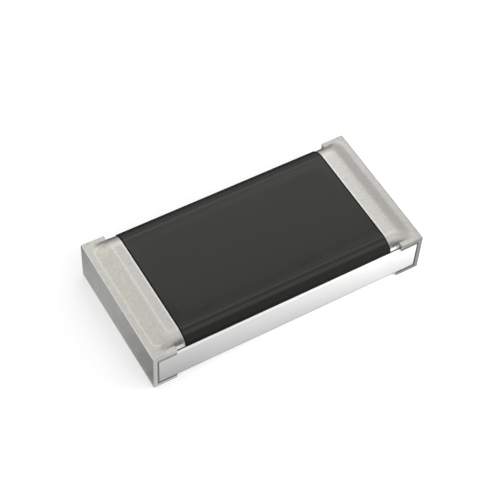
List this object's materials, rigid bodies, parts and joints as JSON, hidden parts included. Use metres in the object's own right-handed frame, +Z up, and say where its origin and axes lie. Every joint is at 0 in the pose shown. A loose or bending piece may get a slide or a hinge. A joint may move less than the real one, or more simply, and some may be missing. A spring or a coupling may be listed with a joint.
{
  "type": "chip resistor",
  "caption": "Flat surface-mount chip resistor: white ceramic plate with a black coat on top and plated metal caps that wrap both ends, for soldering flat on a circuit board.",
  "frame": {"origin": "centre of the underside, level with the two solder faces", "axes": "+X along the length, +Y across the width away from the side that the picture shows, +Z up through the black coat"},
  "size_m": [0.0032, 0.0016, 0.0006],
  "materials": {
    "alumina": "smooth white fired alumina",
    "film": "dull dark printed film",
    "undercoat": "greenish printed glass",
    "coat": "black satin resin",
    "silver_print": "dull printed silver",
    "edge_metal": "dark grey metal",
    "nickel": "warm grey plated nickel",
    "tin": "pale matte plated tin with a fine grain"
  },
  "bodies": {
    "root": {"ceramic_substrate": "alumina", "resistive_film": "film", "glass_undercoat": "undercoat", "overcoat": "coat", "top_electrode_left": "silver_print", "top_electrode_right": "silver_print", "bottom_electrode_left": "silver_print", "bottom_electrode_right": "silver_print", "edge_electrode_left": "edge_metal", "edge_electrode_right": "edge_metal", "nickel_barrier_left": "nickel", "nickel_barrier_right": "nickel", "tin_plating_left": "tin", "tin_plating_right": "tin"}
  },
  "joints": []
}
